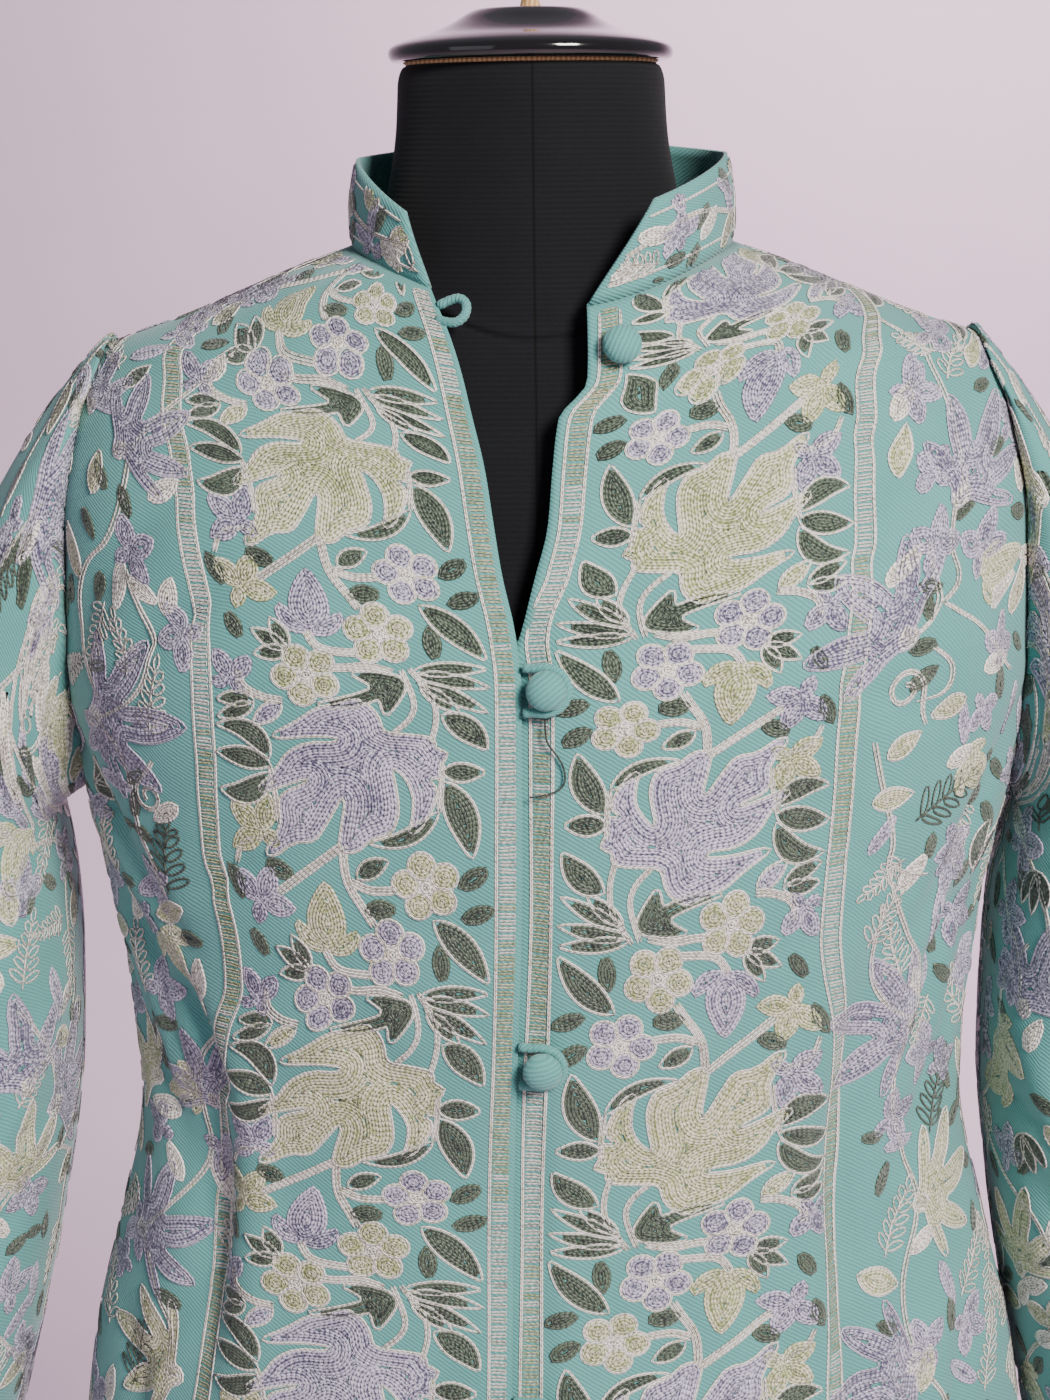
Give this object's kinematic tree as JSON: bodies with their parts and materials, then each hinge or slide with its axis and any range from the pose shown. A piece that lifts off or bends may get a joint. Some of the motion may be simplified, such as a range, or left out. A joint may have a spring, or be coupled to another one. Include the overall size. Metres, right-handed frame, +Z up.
{
  "type": "short coat on a dress form",
  "caption": "Waisted short coat with a stand collar, looped ball buttons and all-over flower embroidery, hung on a limbless dress form with a round foot.",
  "frame": {"origin": "centre of the round foot's underside, on the floor", "axes": "+Z up along the pole, -Y the way the coat's front faces, -X towards the wearer's right"},
  "size_m": [0.62, 0.38, 1.5223],
  "materials": {
    "embroidered_twill": "sea-green twill with chain-stitched flowers in cream, violet, pistachio and moss green",
    "plain_twill": "the same twill, plain",
    "black_jersey": "matt ribbed jersey, stretched",
    "black_lacquer": "glossy black lacquer on turned wood",
    "turned_wood": "plain turned wood",
    "black_steel": "satin black paint"
  },
  "bodies": {
    "root": {"coat_front_right": "embroidered_twill", "coat_front_left": "embroidered_twill", "coat_back": "embroidered_twill", "sleeve_right": "embroidered_twill", "sleeve_left": "embroidered_twill", "collar": "embroidered_twill", "button_1": "plain_twill", "button_2": "plain_twill", "button_3": "plain_twill", "button_4": "plain_twill", "loop_1": "plain_twill", "loop_2": "plain_twill", "loop_3": "plain_twill", "loop_4": "plain_twill", "form_body": "black_jersey", "form_cap": "black_lacquer", "form_peg": "turned_wood", "stand_pole": "black_steel", "stand_base": "black_steel"}
  },
  "joints": []
}
